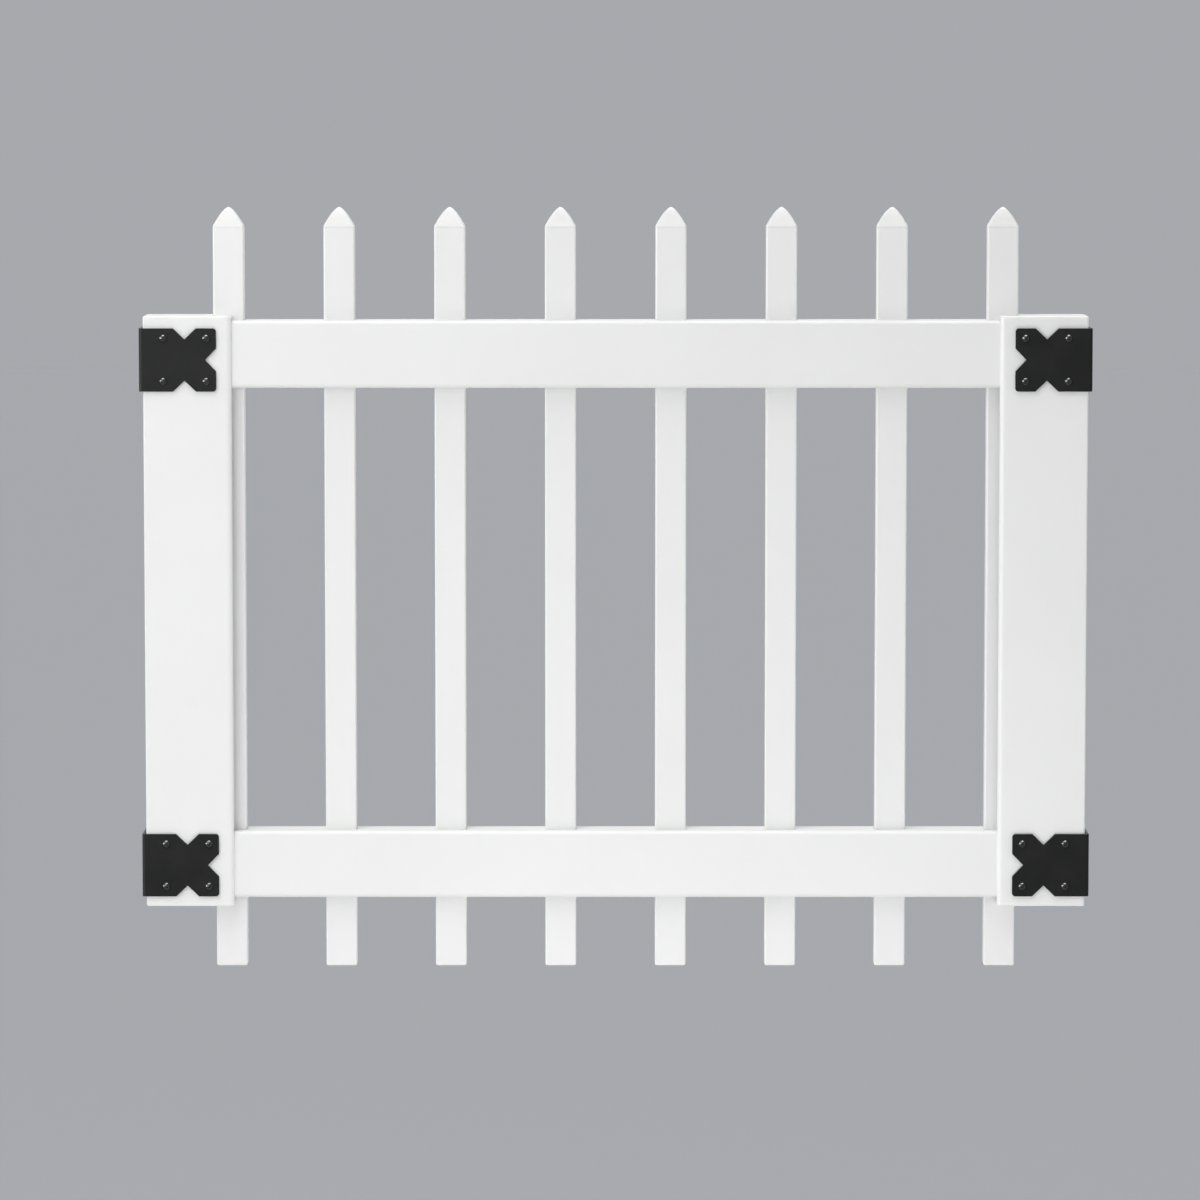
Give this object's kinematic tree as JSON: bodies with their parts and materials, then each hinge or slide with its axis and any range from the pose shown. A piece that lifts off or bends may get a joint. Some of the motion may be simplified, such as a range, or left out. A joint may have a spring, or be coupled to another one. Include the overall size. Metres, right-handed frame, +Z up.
{
  "type": "vinyl picket gate leaf",
  "caption": "White vinyl picket gate leaf: hollow pointed pickets through two routed rails, lipped channel uprights with end caps and black X-shaped corner brackets.",
  "frame": {"origin": "centre of the outer web face of the bottom left corner bracket", "axes": "+X along the width of the leaf from the left bracket to the right one, -Y is the front, +Z up"},
  "size_m": [1.165, 0.0708, 0.9362],
  "materials": {
    "white_vinyl": "satin white rigid vinyl extrusion",
    "white_moulding": "satin white vinyl moulding",
    "black_coating": "satin black powder coat on steel"
  },
  "bodies": {
    "root": {"left_upright": "white_vinyl", "right_upright": "white_vinyl", "top_rail": "white_vinyl", "bottom_rail": "white_vinyl", "picket_1": "white_vinyl", "picket_cap_1": "white_moulding", "picket_plug_1": "white_moulding", "picket_2": "white_vinyl", "picket_cap_2": "white_moulding", "picket_plug_2": "white_moulding", "picket_3": "white_vinyl", "picket_cap_3": "white_moulding", "picket_plug_3": "white_moulding", "picket_4": "white_vinyl", "picket_cap_4": "white_moulding", "picket_plug_4": "white_moulding", "picket_5": "white_vinyl", "picket_cap_5": "white_moulding", "picket_plug_5": "white_moulding", "picket_6": "white_vinyl", "picket_cap_6": "white_moulding", "picket_plug_6": "white_moulding", "picket_7": "white_vinyl", "picket_cap_7": "white_moulding", "picket_plug_7": "white_moulding", "picket_8": "white_vinyl", "picket_cap_8": "white_moulding", "picket_plug_8": "white_moulding", "left_upright_top_cap": "white_moulding", "left_upright_bottom_cap": "white_moulding", "right_upright_top_cap": "white_moulding", "right_upright_bottom_cap": "white_moulding", "top_left_bracket": "black_coating", "top_right_bracket": "black_coating", "bottom_left_bracket": "black_coating", "bottom_right_bracket": "black_coating"}
  },
  "joints": []
}
